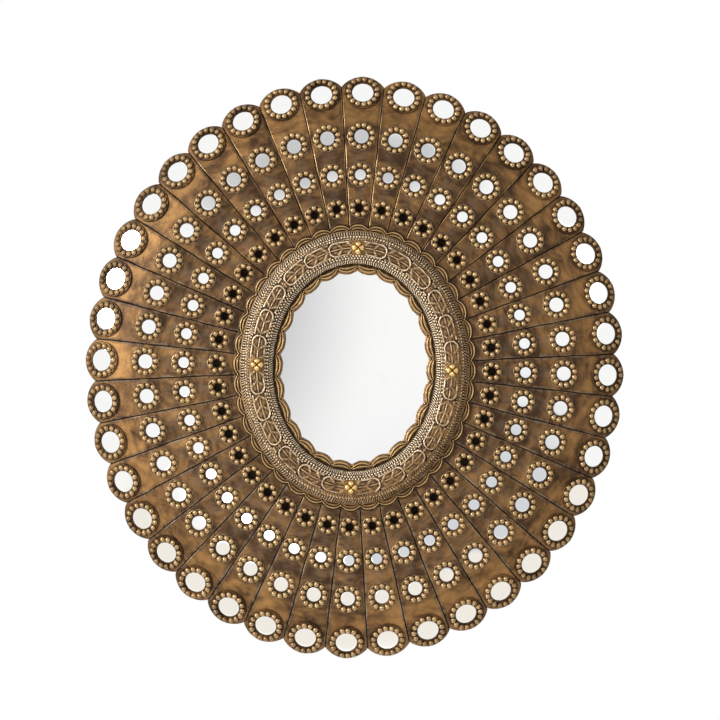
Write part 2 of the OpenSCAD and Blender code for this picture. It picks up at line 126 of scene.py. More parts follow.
def ray_outline(number, margin, tip_margin):
    """Plan of a ray, up its right side, round its tip and down its left side, drawn in by a margin."""
    sides = []
    drawn_less = 0.45 * max(0, 1 - half_joint / max(margin, half_joint))
    for side in (-1, 1):
        start, widening = joint_line(number, side)
        # The corner where the side meets the round tip is found in three steps from a first guess
        corner = lobe_middle + 25
        for _ in range(3):
            half = side * (start + widening * corner) - margin
            corner = lobe_middle + math.sqrt((lobe_radius - tip_margin) ** 2 - half ** 2)
        out = inner_end + (outline_steps - inner_end) * (corner - inner_end) / (straight_end - inner_end)
        drawn_in = margin * (1 - drawn_less * beside_rosette(out))
        joint = number if side < 0 else number - 1
        across = start + widening * out - side * drawn_in + wobble(joint, out)
        corner_turn = math.atan2(across[-1], corner - lobe_middle)
        corner_reach = math.hypot(across[-1], corner - lobe_middle)
        sweep = corner_turn * np.linspace(1, 0, tip_points)[1:-1]
        reach = np.linspace(corner_reach, lobe_radius - tip_margin, tip_points)[1:-1]
        sides.append(np.column_stack([np.append(out, lobe_middle + reach * np.cos(sweep)),
                                      np.append(across, reach * np.sin(sweep))]))
    tip = [[lobe_middle + lobe_radius - tip_margin, 0]]
    return np.concatenate([sides[0], tip, sides[1][::-1]])


def uneven(plan, seed):
    """Slight waves of a hand-finished face, in millimetres."""
    phase = np.random.default_rng(seed).uniform(0, 2 * math.pi, 4)
    out, across = plan.T
    return (0.10 * np.sin(out / 9 + across / 14 + phase[0])
            + 0.07 * np.sin(across / 6 - out / 19 + phase[1])
            + 0.04 * np.sin(out / 3.7 + phase[2]) * np.sin(across / 4.3 + phase[3]))


def over_rosette(row, x, y, rise):
    """Points over a rosette, whose face is square to the dome, in its ray's own frame."""
    lean = slope(row)
    return np.stack([row + x * math.cos(lean) + rise * math.sin(lean), y + 0 * x,
                     height(row) - x * math.sin(lean) + rise * math.cos(lean)], -1)


def on_oval(number, points):
    """Points in a ray's own frame, set in their place on the oval."""
    turn = ray_turn(number)
    cos_aim, sin_aim = math.cos(aim(turn)), math.sin(aim(turn))
    origin = spot(turn, 0.0)
    out, across, rise = points.T
    return np.column_stack([origin[0] + out * cos_aim - across * sin_aim,
                            origin[1] + out * sin_aim + across * cos_aim, rise])


def even_turns(count):
    """Angles of so many points evenly round a circle."""
    return np.linspace(0, 2 * math.pi, count, endpoint=False)


class Shell:
    """Points, faces and marks of one piece. A mark is a number at each point that its finish reads."""

    def __init__(self, *marks):
        self.points = []
        self.faces = []
        self.marks = {name: [] for name in marks}

    def add(self, points, **marks):
        """Adds points and gives back their numbers."""
        points = np.asarray(points, float).reshape(-1, 3)
        first = len(self.points)
        self.points.extend(points.tolist())
        for name, kept in self.marks.items():
            kept.extend(np.broadcast_to(marks.get(name, 0.0), len(points)).tolist())
        return np.arange(first, first + len(points))

    def strip(self, row, next_row, closed=True):
        """Faces between two rows that have as many points each, seen from outside with row below."""
        row_end, next_end = np.roll(row, -1), np.roll(next_row, -1)
        faces = np.stack([row, row_end, next_end, next_row], 1)
        self.faces.extend((faces if closed else faces[:-1]).tolist())

    def ring(self, below, points, way=1, **marks):
        """Adds a ring and joins it to any ring below. Way is -1 for a piece seen from behind."""
        numbers = self.add(points, **marks)
        if below is not None:
            self.strip(below[::way], numbers[::way])
        return numbers

    def close(self, ring, middle, way=1, **marks):
        """Closes a ring round a middle point."""
        hub = int(self.add(middle, **marks)[0])
        starts = ring[::way]
        self.faces.extend([[a, b, hub] for a, b in zip(starts.tolist(), np.roll(starts, -1).tolist())])

    def piece(self, name, finish, node, crease=40):
        """Stands the piece up against the wall, and lets it take the place of its solid."""
        flat = np.array(self.points) * 0.001
        mesh = bpy.data.meshes.new(name)
        mesh.from_pydata(np.stack([flat[:, 0], -flat[:, 2], flat[:, 1]], 1).tolist(), [], self.faces)
        for mark, values in self.marks.items():
            mesh.attributes.new(mark, "FLOAT", "POINT").data.foreach_set("value", values)
        mesh.materials.append(finish.material)
        mesh.shade_smooth()
        mesh.set_sharp_from_angle(angle=math.radians(crease))
        made = bpy.data.objects.new(name, mesh)
        bpy.context.scene.collection.objects.link(made)
        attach(made, "frame")
        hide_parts(node)


class Value:
    """A node's output, on which sums are written as they are on numbers."""

    def __init__(self, tree, socket):
        self.tree = tree
        self.socket = socket

    def sum(self, operation, *others):
        return self.tree.node("Math", {"operation": operation}, dict(enumerate(others)))

    def __add__(self, other):
        return self.sum("ADD", self, other)

    __radd__ = __add__

    def __sub__(self, other):
        return self.sum("SUBTRACT", self, other)

    def __rsub__(self, other):
        return self.sum("SUBTRACT", other, self)

    def __mul__(self, other):
        return self.sum("MULTIPLY", self, other)

    __rmul__ = __mul__

    def most(self, other):
        return self.sum("MAXIMUM", self, other)

    def between(self, low, high):
        """0 below low, 1 above high and a soft step between them."""
        return self.tree.node("MapRange", {"interpolation_type": "SMOOTHSTEP"},
                              {"Value": self, "From Min": low, "From Max": high})


class Tree:
    """The nodes of a material or of the room."""

    def __init__(self, owner):
        owner.use_nodes = True
        self.nodes = owner.node_tree.nodes
        self.links = owner.node_tree.links

    def fill(self, node, sockets):
        for name, value in sockets.items():
            if isinstance(value, Value):
                self.links.new(value.socket, node.inputs[name])
            elif isinstance(value, tuple) and node.inputs[name].type == "RGBA":
                node.inputs[name].default_value = (*value, 1)
            else:
                node.inputs[name].default_value = value

    def node(self, kind, settings, sockets, output=0):
        """A node of any type: its settings first, then the values or links of its sockets."""
        made = self.nodes.new("ShaderNode" + kind)
        for name, value in settings.items():
            setattr(made, name, value)
        self.fill(made, sockets)
        return Value(self, made.outputs[output])

    def show(self, shader, output):
        """Puts a shader on the output in place of the plain one."""
        self.fill(self.nodes[output], {"Surface": shader})


class Finish(Tree):
    """One finish: a material whose nodes are made by the section that uses it."""

    def __init__(self, name):
        self.material = bpy.data.materials.new(name)
        super().__init__(self.material)
        self.place = self.node("TexCoord", {}, {}, "Object")

    def mark(self, name):
        return self.node("Attribute", {"attribute_name": name}, {}, "Fac")

    def noise(self, scale, detail, rough, warp=0.0, stretch=(1, 1, 1)):
        """Cloudy unevenness from 0 to 1, with so many clouds to a metre."""
        place = self.place
        if stretch != (1, 1, 1):
            place = self.node("VectorMath", {"operation": "MULTIPLY"}, {0: self.place, 1: stretch})
        return self.node("TexNoise", {}, {"Vector": place, "Scale": scale, "Detail": detail,
                                          "Roughness": rough, "Distortion": warp})

    def blend(self, part, first, second):
        """Colour between two others."""
        return self.node("Mix", {"data_type": "RGBA"}, {0: part, 6: first, 7: second}, 2)

    def coats(self, colour, *coats):
        """Colour with others laid over it in turn, each with the part of the face it covers."""
        for part, coat in coats:
            colour = self.blend(part, colour, coat)
        return colour

    def bump(self, relief, depth, strength):
        """Normal of a face with fine relief, whose depth is in metres."""
        return self.node("Bump", {}, {"Height": relief, "Distance": depth, "Strength": strength})

    def skin(self, **sockets):
        """Sets the plain shader's own sockets, named with _ for a space."""
        shader = self.nodes["Principled BSDF"]
        self.fill(shader, {name.replace("_", " "): value for name, value in sockets.items()})


# Distance along the ray, beads, circle of the beads, seat, pad's edge, pad's height, points round
rosettes = [(row_outer, 15, 23.1, 18.8, 29.0, 2.5, 48), (row_upper, 12, 18.1, 12.3, 22.6, 1.0, 40),
            (row_lower, 10, 15.2, 9.55, 19.7, 1.0, 34), (row_inner, 7, 11.2, 6.2, 15.7, 1.0, 28)]
bead_radius, bead_rise = 4.8, 0.4
glass_back, glass_front, eye_depth, outer_lip, other_lip = 3.6, 1.6, 9.0, 1.7, 0.6
# Steps of the rounded edge along a joint: margin, margin at the tip, drop, wax, gilding, glaze. The
# gilding on the edge is worn gilt and also a painted highlight along the edge
rounded_edge = [(0.4, 0.0, 1.9, 1.0, 0.0, 1.0), (0.62, 0.15, 1.15, 1.0, 0.2, 0.5),
                (1.0, 0.4, 0.5, 0.9, 0.85, 0.2), (1.6, 0.75, 0.12, 0.9, 0.8, 0.0),
                (2.2, 1.1, 0.0, 1.0, 0.2, 0.0)]
# Each ray's glaze is a little lighter or darker than the next one's
tones = np.random.default_rng(7).uniform(-1, 1, ray_count)


def foot_of(row, pad_edge, count):
    """Plan of the line where a rosette meets the dome, kept inside the rounded tip."""
    around = even_turns(count)
    wide = pad_edge + (0.55 if pad_edge < 20 else 1.0)
    foot = over_rosette(row, wide * np.cos(around), wide * np.sin(around), 0.0)
    from_lobe = foot[:, :2] - [lobe_middle, 0]
    reach = np.linalg.norm(from_lobe, axis=1, keepdims=True)
    limit = np.where(from_lobe[:, :1] > 0, lobe_radius - rounded_edge[-1][1] - 0.3, reach)
    return [lobe_middle, 0] + from_lobe * np.minimum(1, limit / reach)


def waxed_part(number):
    """How much of the wax is left in a ray's joints. Most of it is wiped off round the top."""
    return 1 - 0.7 * max(0, math.sin(ray_turn(number))) ** 3


def ray_face(shell, number, edge_plan, edge_numbers, feet):
    """Fills a ray's face inside its rounded edge, and gives the points where its rosettes stand on it."""
    start_right, widen_right = joint_line(number, -1)
    start_left, widen_left = joint_line(number, 1)

    def to_joint(plan):
        return np.minimum(plan[:, 1] - start_right - widen_right * plan[:, 0],
                          start_left + widen_left * plan[:, 0] - plan[:, 1])

    def to_rosette(plan):
        return np.min([np.hypot((plan[:, 0] - row) / math.cos(slope(row)), plan[:, 1]) - pad_edge
                       for row, _, _, _, pad_edge, _, _ in rosettes], axis=0)

    # Loose points lie in rows half a step apart, clear of the edge and of the rosettes
    step = 3.6
    out, across = np.meshgrid(np.arange(-9, 232, step), np.arange(-31.5, 32, step))
    out = out + step / 2 * (np.arange(len(out)) % 2)[:, None]
    loose = np.stack([out.ravel(), across.ravel()], -1)
    in_tip = np.linalg.norm(loose - [lobe_middle, 0], axis=1) < lobe_radius - 3.5
    loose = loose[in_tip & (to_joint(loose) > 4) & (to_rosette(loose) > 3)]
    plan = np.concatenate([edge_plan, *feet, loose])
    starts = (len(edge_plan) + np.cumsum([0] + [len(foot) for foot in feet])).tolist()
    # Each foot is a closed line of edges, and owns its points
    edges, owner = [], np.full(len(plan), -1)
    for order, (start, end) in enumerate(zip(starts, starts[1:])):
        owner[start:end] = order
        edges += zip(range(start, end), [*range(start + 1, end), start])
    points, _, faces, origins, _, _ = delaunay_2d_cdt([Vector(point) for point in plan.tolist()], edges,
                                                      [list(range(len(edge_plan)))], 1, 1e-5)
    flat = np.array([point[:] for point in points])
    # Place of each point in the plan, or -1 for a new one
    source = np.array([min(origin) if origin else -1 for origin in origins])
    inside = (source < 0) | (source >= len(edge_plan))
    raised = height(flat[:, 0]) + uneven(flat, number)
    # Wax lies along the joints, round the rosettes and, further out on the lower rays, at the moulding
    spread = 9 + 45 * max(0, -math.sin(ray_turn(number))) ** 2
    waxed = 0.6 * waxed_part(number) * np.exp(-to_joint(flat) / 5.6)
    halo = np.maximum(np.exp(-to_rosette(flat) / 3.6), 1.1 * np.exp(-np.maximum(flat[:, 0], 0) / spread))
    bare = np.clip((flat[:, 0] - 120) / 70, 0, 1)
    numbers = np.full(len(points), -1)
    numbers[inside] = shell.add(np.column_stack([flat, raised])[inside], joint=waxed[inside],
                                halo=halo[inside], tone=tones[number], bare=bare[inside])
    numbers[~inside] = edge_numbers[source[~inside]]
    # No faces lie inside a foot, where the rosette stands
    foot_of_point = np.where(source >= 0, owner[source], -1)
    for face in faces:
        feet_met = {int(foot_of_point[corner]) for corner in face}
        if len(feet_met) > 1 or -1 in feet_met:
            shell.faces.append(numbers[face].tolist())
    where = {origin: k for k, met in enumerate(origins) for origin in met}
    return [numbers[[where[origin] for origin in range(start, end)]]
            for start, end in zip(starts, starts[1:])]


def rosette(shell, number, order, foot_numbers):
    """Raised pad with a circle of beads round the seat of a small mirror, or round an open eye."""
    row, beads, circle, seat, pad_edge, pad, count = rosettes[order]
    # Steps from the foot inwards: radius, rise, gilding, and glaze with painted shade. The dark under
    # the beads, round the mirror's lip and down the open eye is painted shade. The innermost rosette
    # has an open eye, and a thin lip holds the mirror of each other one
    if order == 3:
        lip, bottom = seat, -eye_depth
        inner_steps = [(seat, pad - 0.4, 0.2, 0.7), (seat, bottom, 0.0, 1.0)]
    else:
        lip, bottom = seat - (other_lip if order else outer_lip), pad - glass_back
        inner_steps = [(lip, pad - 0.4, 0.1, 0.6), (lip, pad - 1.5, 0.0, 0.8), (seat, pad - 1.5, 0.0, 1.0),
                       (seat, bottom, 0.0, 1.0)]
    steps = [(pad_edge, pad * 0.30, 0.2, 0.5), (pad_edge - 0.06, pad * 0.70, 0.75, 0.3),
             (pad_edge - 0.45, pad * 0.96, 0.8, 0.2), (pad_edge - 1.1, pad, 0.15, 0.55),
             (circle, pad - 0.25, 0.0, 0.5), (lip + 0.9, pad - 0.05, 0.15, 0.45),
             (lip + 0.35, pad, 0.35, 0.4)] + inner_steps
    around = even_turns(count)
    below = foot_numbers
    for radius, rise, pale, dark in steps:
        if order == 0 and radius > circle:
            pale, dark = 0.45 * pale, 0.5 * dark
        points = over_rosette(row, radius * np.cos(around), radius * np.sin(around), rise)
        below = shell.ring(below, points, pale=pale, dark=dark, halo=0.3, tone=tones[number])
    # The floor of the seat or of the eye is painted black: painted shade at the bottom of the hole
    shell.close(below, over_rosette(row, 0, 0, bottom), dark=1.0)
    chance = np.random.default_rng(1000 + 4 * number + order)
    around = even_turns(14)
    turn = math.radians((number * 137.5 + 137.5 + order * 61) % 360)
    for k in range(beads):
        place = turn + k * 2 * math.pi / beads + chance.normal(0, 0.012)
        size = bead_radius * chance.uniform(0.95, 1.03)
        width = size * chance.uniform(0.96, 1.02)
        from_middle = circle + chance.normal(0, 0.12)
        x, y = from_middle * math.cos(place), from_middle * math.sin(place)
        worn = chance.uniform(0.75, 1.0)
        # On the outer rosettes a bead's worn gilt is painted thinner on its outer side. This is painted
        # shade, as the tips lean away from the light
        if order == 0:
            worn *= 0.82 - 0.18 * math.cos(place)
        below = None
        # Rings of a bead from below its foot to its top. Its foot is painted dark, as painted contact shade
        # on the pad, and its top is paler with worn gilt
        for polar in (112, 92, 74, 56, 38, 19):
            wide, tall = math.sin(math.radians(polar)), math.cos(math.radians(polar))
            points = over_rosette(row, x + width * wide * np.cos(around + place),
                                  y + size * wide * np.sin(around + place), pad + bead_rise + size * tall)
            below = shell.ring(below, points, pale=worn * min(1, max(0, tall * 1.2 + 0.25)),
                               dark=max(0, 0.5 - 1.5 * tall), tone=tones[number])
        shell.close(below, over_rosette(row, x, y, pad + bead_rise + size), pale=worn)


def cast_ray(number):
    """One ray: rounded face, four rosettes, side walls and underside."""
    shell = Shell("joint", "halo", "pale", "dark", "tone", "bare")
    waxing = waxed_part(number)
    plans = [ray_outline(number, margin, tip_margin) for margin, tip_margin, *_ in rounded_edge]
    edge = []
    for plan, (_, _, drop, joint, pale, dark) in zip(plans, rounded_edge):
        out, across = plan.T
        raised = height(out) - drop + uneven(plan, number)
        # Gilding on the edge comes in stretches. It is worn gilt and also a painted highlight along the edge
        stretches = np.sin(out / 13 + 2.1 * number) + np.sin(out / 31 + 1.3 * number + across)
        edge_gilt_and_highlight = np.clip(1.1 - 0.8 * waxing + 0.3 * stretches, 0.05, 1)
        edge.append(shell.add(np.column_stack([plan, raised]), joint=0.6 * joint * waxing,
                              pale=pale * edge_gilt_and_highlight, dark=dark, tone=tones[number]))
    for below, above in zip(edge, edge[1:]):
        shell.strip(below, above, closed=False)
    feet = [foot_of(row, pad_edge, count) for row, _, _, _, pad_edge, _, count in rosettes]
    for order, foot_numbers in enumerate(ray_face(shell, number, plans[-1], edge[-1], feet)):
        rosette(shell, number, order, foot_numbers)
    # The underside laps the next ray's a little, so that no light comes through the joint
    overlap = 0.15
    half_points = len(plans[0]) // 2
    steps = np.concatenate([outline_steps, plans[0][len(outline_steps):half_points + 1, 0]])
    half = np.where(steps < skirt_inside, board_front,
                    np.where(steps < skirt_outside, skirt_foot, height(steps) - tip_thickness))
    under = np.concatenate([half, half[-2::-1]])
    foot = shell.add(np.column_stack([ray_outline(number, -overlap, 0.0), under]), dark=0.35,
                     tone=tones[number])
    shell.strip(foot, edge[0], closed=False)
    right, left = foot[:half_points][::-1], foot[half_points + 1:]
    shell.strip(right, left, closed=False)
    shell.faces.append([int(left[0]), int(foot[half_points]), int(right[0])])
    points = np.array(shell.points)
    shell.marks["along"], shell.marks["across"] = (points[:, :2] * 0.001).T.tolist()
    shell.points = on_oval(number, points).tolist()
    name = f"ray_{number + 1:02d}"
    shell.piece(name + "_casting", gilt, name)


# Gold paint lies under a brown glaze, which is rubbed off the beads, with grey wax in the joints
glaze, gold, bead_gold = (0.047, 0.023, 0.010), (0.320, 0.165, 0.055), (0.405, 0.268, 0.130)
dark, wax, dry_wax = (0.018, 0.009, 0.004), (0.112, 0.078, 0.050), (0.205, 0.165, 0.125)
gilt = Finish("antique gold of the rays")
tone, joint = gilt.mark("tone"), gilt.mark("joint")
gilt.place = gilt.node("CombineXYZ", {}, {0: gilt.mark("along"), 1: gilt.mark("across"), 2: tone})
clouds = gilt.noise(26, 3, 0.5, 0.6, (1.2, 0.8, 1))
mottle = gilt.noise(42, 6, 0.56, 1.2, (1.4, 0.8, 1))
speckle = gilt.noise(520, 3, 0.6)
streaks = gilt.noise(95, 5, 0.62, 0.5, (2.6, 0.6, 1))
rubbed = mottle * 0.6 + clouds * 0.7 + streaks * 0.15 + tone * 0.04 + gilt.mark("bare") * 0.14
smears = streaks * 1.1 + mottle * 0.6 + clouds * 0.4
waxed = (joint.most(gilt.mark("halo") * 0.75) * smears).between(0.38, 0.92)
crust = (joint * (streaks + mottle)).between(0.50, 0.68)
# Pale coat: worn gilt on the beads, pads and edges. Along the joints' edges it is also a painted highlight,
# and on the outer beads' outer side painted shade thins it
worn = (gilt.mark("pale") * (0.55 + mottle * 0.9)).between(0.25, 0.9)
colour = gilt.coats(glaze, (rubbed.between(0.57, 1.10), gold), (waxed * 0.6, wax), (crust * 0.5, dry_wax),
                    (gilt.mark("dark"), dark), (worn, bead_gold), (speckle.between(0.60, 0.76) * 0.45, dark))
relief = mottle * 0.5 + speckle * 0.35 + gilt.noise(190, 5, 0.6) * 0.6
gilt.skin(Base_Color=colour, Metallic=0.45 - waxed * 0.35 + worn * 0.25, Specular_IOR_Level=0.18,
          Roughness=0.41 + mottle * 0.14 + waxed * 0.2 - worn * 0.14, Normal=gilt.bump(relief, 0.0008, 0.7))
for number in range(ray_count):
    cast_ray(number)

# Small mirrors
# Round mirrors of three stock sizes are bonded in the seats of the outer three rosettes.
# They are silvered glass, and each lies a little out of true in its bed of glue.


def silvered_finish(name, smudge_size, tint):
    """Silvered glass with faint wiping marks."""
    finish = Finish(name)
    smudges = finish.noise(smudge_size, 4, 0.6, 1.5)
    dust = finish.noise(smudge_size * 22, 2, 0.5)
    colour = finish.blend(smudges.between(0.5, 0.8) * 0.5 + dust.between(0.62, 0.8) * 0.3, tint,
                          tuple(0.93 * part for part in tint))
    finish.skin(Base_Color=colour, Metallic=1.0, Roughness=0.025 + smudges.between(0.45, 0.8) * 0.03,
                Normal=finish.bump(smudges, 0.0002, 0.04))
    return finish


def mirror_row(which, order, disc_radius):
    """All the small mirrors of one row."""
    shell = Shell()
    row, _, _, _, _, pad, _ = rosettes[order]
    back, front = pad - glass_back, pad - glass_front
    chance = np.random.default_rng(200 + order)
    # Radius and rise of the rings over the ground edge and the face
    profile = [(disc_radius, front - 0.5), (disc_radius - 0.12, front - 0.3),
               (disc_radius - 0.5, front - 0.05), (disc_radius - 0.9, front - 0.01),
               (disc_radius * 0.72, front), (disc_radius * 0.36, front + 0.015)]
    for number in range(ray_count):
        tilt_x, tilt_y = chance.normal(0, 0.011, 2)

        def place(radius, rise):
            around = even_turns(40 if radius else 1)
            x, y = radius * np.cos(around), radius * np.sin(around)
            return on_oval(number, over_rosette(row, x, y, rise + x * tilt_x + y * tilt_y))

        below = shell.ring(None, place(disc_radius, back))
        shell.close(below, place(0, back), -1)
        for radius, rise in profile:
            below = shell.ring(below, place(radius, rise))
        shell.close(below, place(0, front + 0.02))
    shell.piece(f"{which}_glass_discs", small_glass, f"{which}_mirrors", crease=50)


small_glass = silvered_finish("silvered glass of the small mirrors", 45, (0.93, 0.93, 0.915))
for order, (which, disc_radius) in enumerate([("outer", 18.5), ("upper", 12.0), ("lower", 9.25)]):
    mirror_row(which, order, disc_radius)

# Moulding
# One oval casting lies on the rays' inner ends and frames the centre mirror. Its crest is carved
# with rows of rope strokes, beads and leaves, gilded, and glazed dark in the hollows.
moulding_width = 82.0
crest_middle, crest_half, crest_height, crest_round, flange = -40.75, 26.75, 19.0, 1.2, 4.0
outer_scallops, outer_scallop_depth, outer_foot = 40, 4.5, 14.0
inner_scallops, inner_scallop_depth, inner_foot = 26, 5.0, 14.5
# Points round the oval, step over the section, rounds of smoothing, half width of the leaf band
moulding_turns, section_step, smoothing_rounds, leaf_reach = 2064, 0.66, 12, 12.3
# Flat seats of the studs
seat_radius, seat_rise = 11.3, 19.3
# Rope bands: depth, outer and inner side, strokes, sway. Rows of beads: depth, middle, count, radius
rope_bands = [(1.5, -14.0, -21.2, 304, 0.6), (1.2, -25.2, -28.6, 288, 4.1), (1.5, -58.8, -65.8, 272, 2.3)]
bead_rows = [(0.9, -23.2, 232, 1.5), (1.0, -53.6, 196, 1.5), (1.0, -56.9, 190, 1.6)]


def swell(distance, width):
    """Rounded ridge of height 1 at distance 0."""
    return np.exp(-(distance / width) ** 2)


def within(value, low, high, soft):
    """1 between two limits and 0 outside them, with soft ends."""
    return np.clip((value - low) / soft, 0, 1) * np.clip((high - value) / soft, 0, 1)


def section_line(step):
    """Even steps over the moulding's section, from its outer to its inner edge: distance and height."""
    angle = np.linspace(0, math.pi, 2001)
    crest_out = crest_middle + crest_half * np.cos(angle)
    crest_rise = flange / 2 + (crest_height - flange / 2) * np.sin(angle) ** crest_round
    shown = crest_rise > flange + 0.1
    bend = np.linspace(0, math.pi / 2, 12)
    out = np.concatenate([[0], -4 + 4 * np.cos(bend), crest_out[shown],
                          -moulding_width + 4.5 - 4.5 * np.sin(bend), [-moulding_width]])
    rise = np.concatenate([[0], 0.8 + 3.4 * np.sin(bend), crest_rise[shown], 0.6 + 3.6 * np.cos(bend), [0]])
    way = np.concatenate([[0], np.cumsum(np.hypot(np.diff(out), np.diff(rise)))])
    even = np.linspace(0, way[-1], int(way[-1] / step))
    return np.interp(even, way, out), np.interp(even, way, rise)


def scallop_phase(turn, count, start):
    """Place across a scallop, from -1 to 1 between its points."""
    part = ((math.pi / 2 - turn) / (2 * math.pi) * count - start + 0.5) % 1
    return 2 * part - 1


def rope(turn, out, start, end, strokes, sway):
    """Slanting cuts side by side. Their lean and depth stray along the oval, as they were cut by hand."""
    lean = 0.8 * np.sin(3 * turn + sway) + 0.5 * np.sin(8 * turn + 2.1 * sway)
    stray = 1.1 * np.sin(23 * turn + sway) + 0.8 * np.sin(57 * turn + 3 * sway)
    from_middle = out - (start + end) / 2
    cut = (0.5 - 0.5 * np.cos(strokes * turn + stray + lean * from_middle + 0.09 * from_middle ** 2)) ** 2
    depth = 0.72 + 0.28 * np.sin(37 * turn + 0.9 * out + sway)
    return (0.5 - 1.8 * cut * depth) * within(out, end, start, 1.1)


def pearls(turn, out, middle, count, radius):
    """Row of small round beads."""
    stride = np.hypot((edge_across + middle) * np.sin(turn), (edge_up + middle) * np.cos(turn))
    along = ((turn * count / (2 * math.pi)) % 1 - 0.5) * 2 * math.pi / count * stride
    return np.sqrt(np.maximum(radius ** 2 - along ** 2 - (out - middle) ** 2, 0))


def leaf_band(turn, out):
    """Arched motifs, three each way from a stud: a midrib with hollow leaves between slanting ribs."""
    fine = np.linspace(0, 2 * math.pi, 14401)
    path = spot(fine, crest_middle)
    length = np.concatenate([[0], np.cumsum(np.linalg.norm(np.diff(path, axis=0), axis=1))])
    quarter = length[-1] / 4
    along = np.interp(turn % (2 * math.pi), fine, length) % quarter
    from_stud = np.minimum(along, quarter - along)
    motif, round_end, half = 42.3, 10.9, 10.4
    back = motif - (from_stud - 4.5) % motif
    side = np.abs(out - crest_middle)
    arch = np.hypot(np.maximum(round_end - back, 0), side)
    worn = 1.1 - 0.35 * np.clip(back / motif, 0, 1) + 0.15 * np.sin(29 * turn + np.sign(out - crest_middle))
    ribs = np.maximum(worn * swell(arch - half, 1.7), 0.6 * swell(side, 1.1))
    for start in (14.0, 31.5):
        rib = back - start - 1.2 * np.sin(11 * turn) - 8.5 * np.clip(1 - side / half, 0, 1) ** 1.3
        fading = 0.45 + 0.55 * (side / half) ** 1.5
        ribs = np.maximum(ribs, fading * swell(0.8 * rib, 1.7 + 1.9 * (side / half) ** 3) * (arch < half))
    into_leaf = np.minimum((back - 2) % 17.5, 8) / 8
    leaf = swell(side - 5.0, 2.8) * into_leaf * (0.7 + 0.3 * np.cos((back + side) * 2 * math.pi / 3.1))
    relief = 1.4 * ribs + (1.0 * leaf - 0.85) * (1 - np.minimum(ribs, 1))
    relief -= 0.5 * (arch > half + 1.9)
    return relief * np.clip((from_stud - 9) / 2, 0, 1)


def outer_lobes(turn, out):
    """A thin ridge along each outer scallop with a shallow hollow behind it, and a knob where two meet."""
    across = np.abs(scallop_phase(turn, outer_scallops, 0.0))
    line = -4.4 - 5.0 * across ** 3
    relief = 1.5 * swell(out - line, 1.1) - 1.5 * (out > line + 1.5)
    relief -= 1.3 * within(out, -13.4, line - 1.2, 1.2)
    relief += 1.9 * swell(out - line + 4.6, 1.7) * (1 - across ** 4)
    relief += 1.2 * swell(np.hypot((1 - across) * 16.5, out + 8.8), 1.9)
    return relief * within(out, -outer_foot - 0.4, 0.5, 1.2)


def inner_lobes(turn, out):
    """Two broad ridges side by side along each larger scallop of the opening, and a deep hollow behind."""
    across = np.abs(scallop_phase(turn, inner_scallops, 0.5))
    line = -77.4 + 5.4 * across ** 2.6
    relief = 1.7 * swell(out - line, 1.75) - 0.5 * swell(out - line - 2.5, 0.9)
    relief += 1.5 * swell(out - line - 4.9, 1.6) * (1 - across ** 5) - 1.1 * within(out, -70.4, -65.6, 1.8)
    relief -= 1.3 * swell(np.hypot((1 - across) * 18, out + 74.5), 2.6)
    return relief * within(out, -moulding_width - 0.5, -moulding_width + inner_foot + 2.0, 1.2)


# The moulding is one relief, wrapped over its section all the way round
turn = even_turns(moulding_turns)[None, :]
line_out, line_rise = section_line(section_step)
slope_out, slope_rise = np.gradient(line_out), np.gradient(line_rise)
steep = np.hypot(slope_out, slope_rise)
out = line_out[:, None] + 0 * turn
relief = np.where(np.abs(out - crest_middle) < leaf_reach, leaf_band(turn, out), 0.0)
relief += sum(depth * rope(turn, out, *band) for depth, *band in rope_bands)
relief += sum(depth * pearls(turn, out, *beads) for depth, *beads in bead_rows)
relief += 0.25 * np.sin(61 * turn + 0.8 * out) * np.sin(0.9 * out - 17 * turn)
relief += outer_lobes(turn, out) + inner_lobes(turn, out)
# Both edges are drawn in between the middles of their scallops
outer_dip = outer_scallop_depth * scallop_phase(turn, outer_scallops, 0.0) ** 2
inner_dip = inner_scallop_depth * scallop_phase(turn, inner_scallops, 0.5) ** 2
moved = (inner_dip * np.clip(1 - (out + moulding_width) / inner_foot, 0, 1)
         - outer_dip * np.clip(1 + out / outer_foot, 0, 1))
placed = out + moved + relief * (slope_rise / steep)[:, None]
risen = line_rise[:, None] - relief * (slope_out / steep)[:, None]
smooth = relief
for _ in range(smoothing_rounds):
    for axis in (1, 0):
        smooth = (smooth + np.roll(smooth, 1, axis) + np.roll(smooth, -1, axis)) / 3
# The pale gilding is painted thinner on the outer slope towards the lower right. This is painted
# shade, as if the light came from the upper left
outer_slope = np.clip((out - crest_middle) / 20 + 0.5, 0, 1)
painted_shade_factor = 1 - 0.45 * outer_slope * (0.5 - 0.5 * np.cos(turn - math.radians(130)))
proud, sunk = painted_shade_factor * (relief - smooth), -0.38 * relief
plan = spot(turn + 0 * out, placed)
# The relief gives way to the studs' seats
for k in range(4):
    middle = spot(k * math.pi / 2, crest_middle)
    seat = np.clip((seat_radius + 0.3 - np.linalg.norm(plan - middle, axis=2)) / 0.7, 0, 1)
    risen = risen + np.maximum(seat_rise - risen, 0) * seat
    proud, sunk = proud * (1 - seat), sunk * (1 - seat)
risen[0], risen[-1] = 0.0, 0.0
moulding = Shell("high", "low", "warm")
from_crest = np.abs(line_out - crest_middle)
# Warmer on the scallops and on the leaves of the crest than on the ropes
warm = np.clip(np.maximum(from_crest / 2 - 12.5, 0.6 * swell(from_crest, 14)), 0.12, 1)
rows = [moulding.add(np.column_stack([plan[k], top_height + risen[k]]), warm=float(warm[k]),
                     high=np.clip(0.2 * painted_shade_factor[k] + 0.85 * proud[k], 0, 1),
                     low=np.clip(sunk[k] - 1.5 * proud[k], 0, 1)) for k in range(len(line_out))]
for below, above in zip(rows, rows[1:] + rows[:1]):
    moulding.strip(below, above)
